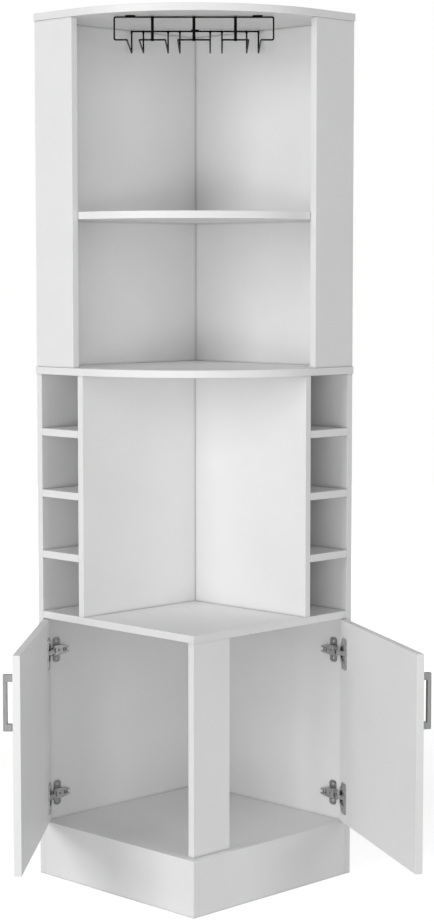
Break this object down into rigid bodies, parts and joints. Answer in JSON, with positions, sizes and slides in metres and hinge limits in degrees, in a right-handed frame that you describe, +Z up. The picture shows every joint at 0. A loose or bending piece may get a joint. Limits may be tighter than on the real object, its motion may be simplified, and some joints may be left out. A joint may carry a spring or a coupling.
{
  "type": "corner bar cabinet",
  "caption": "Tall white corner bar cabinet: rounded open hutch with a stemware rack, bottle cells beside a serving niche, and a two-door cupboard on a plinth.",
  "frame": {"origin": "floor point under the room's corner, where the two wall boards meet", "axes": "+Z up, -Y towards the front along the diagonal of the corner, +X to the right seen from the front"},
  "size_m": [0.8199, 0.7725, 1.8],
  "materials": {
    "melamine_board": "white melamine on particle board, satin",
    "nickel_handle": "satin nickel",
    "zinc_hinge": "bright nickel plate on pressed steel",
    "black_wire": "black powder coat, semi-gloss"
  },
  "bodies": {
    "carcass": {"top_board": "melamine_board", "middle_board": "melamine_board", "hutch_shelf": "melamine_board", "worktop": "melamine_board", "front_stile": "melamine_board", "bottom_board": "melamine_board", "hutch_wall_left": "melamine_board", "hutch_side_left": "melamine_board", "base_wall_left": "melamine_board", "niche_panel_left": "melamine_board", "plinth_left": "melamine_board", "bottle_shelf_left_1": "melamine_board", "bottle_shelf_left_2": "melamine_board", "bottle_shelf_left_3": "melamine_board", "hutch_wall_right": "melamine_board", "hutch_side_right": "melamine_board", "base_wall_right": "melamine_board", "niche_panel_right": "melamine_board", "plinth_right": "melamine_board", "bottle_shelf_right_1": "melamine_board", "bottle_shelf_right_2": "melamine_board", "bottle_shelf_right_3": "melamine_board", "rack_front_wire": "black_wire", "rack_rear_bar": "black_wire", "rack_guide_left": "black_wire", "rack_guide_middle": "black_wire", "rack_guide_right": "black_wire", "rack_strut_left": "black_wire", "rack_strut_middle": "black_wire", "rack_strut_right": "black_wire", "hinge_arm_left_lower": "zinc_hinge", "hinge_arm_left_upper": "zinc_hinge", "hinge_arm_right_lower": "zinc_hinge", "hinge_arm_right_upper": "zinc_hinge", "hinge_plate_left_lower": "zinc_hinge", "hinge_plate_left_upper": "zinc_hinge", "hinge_plate_right_lower": "zinc_hinge", "hinge_plate_right_upper": "zinc_hinge"},
    "left_door": {"door_left": "melamine_board", "handle_left": "nickel_handle", "hinge_cup_left_lower": "zinc_hinge", "hinge_cup_left_upper": "zinc_hinge"},
    "right_door": {"door_right": "melamine_board", "handle_right": "nickel_handle", "hinge_cup_right_lower": "zinc_hinge", "hinge_cup_right_upper": "zinc_hinge"}
  },
  "joints": [
    {"name": "left_door_hinge", "type": "hinge", "parent": "carcass", "child": "left_door", "pos_m": [-0.31876, -0.33885, 0.33], "axis": [0, 0, -1], "range_deg": [-48.2, 46.8]},
    {"name": "right_door_hinge", "type": "hinge", "parent": "carcass", "child": "right_door", "pos_m": [0.31876, -0.33885, 0.33], "axis": [0, 0, 1], "range_deg": [-61.4, 33.6]}
  ]
}
